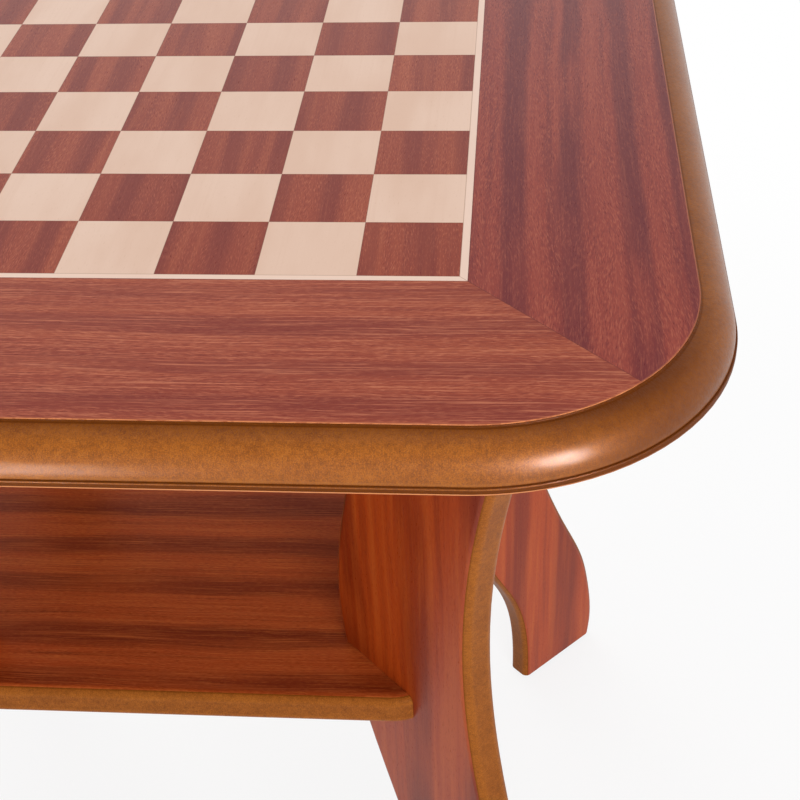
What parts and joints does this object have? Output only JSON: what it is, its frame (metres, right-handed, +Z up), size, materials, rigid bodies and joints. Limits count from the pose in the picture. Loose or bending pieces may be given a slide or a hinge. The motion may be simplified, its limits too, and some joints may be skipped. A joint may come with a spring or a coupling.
{
  "type": "chess table",
  "caption": "Square game table with an inlaid chessboard, a moulded edge, curved panel legs on the diagonals and a shelf let into the legs.",
  "frame": {"origin": "on the floor, on the table's vertical axis", "axes": "+Z up, +X to the right, -Y towards the front, where the right-hand corner square is dark"},
  "size_m": [0.666, 0.666, 0.77],
  "materials": {
    "stained_board": "stained, satin lacquer",
    "sapele_veneer": "satin lacquer",
    "maple_veneer": "satin lacquer",
    "beech": "bare",
    "zinc_steel": "zinc plated",
    "insert_alloy": "plain",
    "felt": "matt"
  },
  "bodies": {
    "root": {"top_panel": "stained_board", "shelf_panel": "stained_board", "underside_veneer": "sapele_veneer", "shelf_top_veneer": "sapele_veneer", "shelf_underside_veneer": "sapele_veneer", "dark_squares": "sapele_veneer", "light_squares": "maple_veneer", "leg_dowels": "beech", "cleat_bolts": "zinc_steel", "cleat_washers": "zinc_steel", "cleat_screws": "zinc_steel", "top_inserts": "insert_alloy", "border_veneer_front": "sapele_veneer", "line_inlay_front": "maple_veneer", "border_veneer_right": "sapele_veneer", "line_inlay_right": "maple_veneer", "border_veneer_back": "sapele_veneer", "line_inlay_back": "maple_veneer", "border_veneer_left": "sapele_veneer", "line_inlay_left": "maple_veneer", "leg_panel_front_right": "stained_board", "leg_veneer_front_right_left": "sapele_veneer", "leg_veneer_front_right_right": "sapele_veneer", "leg_cleat_front_right_left": "beech", "leg_cleat_front_right_right": "beech", "foot_pad_front_right": "felt", "leg_panel_back_right": "stained_board", "leg_veneer_back_right_left": "sapele_veneer", "leg_veneer_back_right_right": "sapele_veneer", "leg_cleat_back_right_left": "beech", "leg_cleat_back_right_right": "beech", "foot_pad_back_right": "felt", "leg_panel_back_left": "stained_board", "leg_veneer_back_left_left": "sapele_veneer", "leg_veneer_back_left_right": "sapele_veneer", "leg_cleat_back_left_left": "beech", "leg_cleat_back_left_right": "beech", "foot_pad_back_left": "felt", "leg_panel_front_left": "stained_board", "leg_veneer_front_left_left": "sapele_veneer", "leg_veneer_front_left_right": "sapele_veneer", "leg_cleat_front_left_left": "beech", "leg_cleat_front_left_right": "beech", "foot_pad_front_left": "felt"}
  },
  "joints": []
}
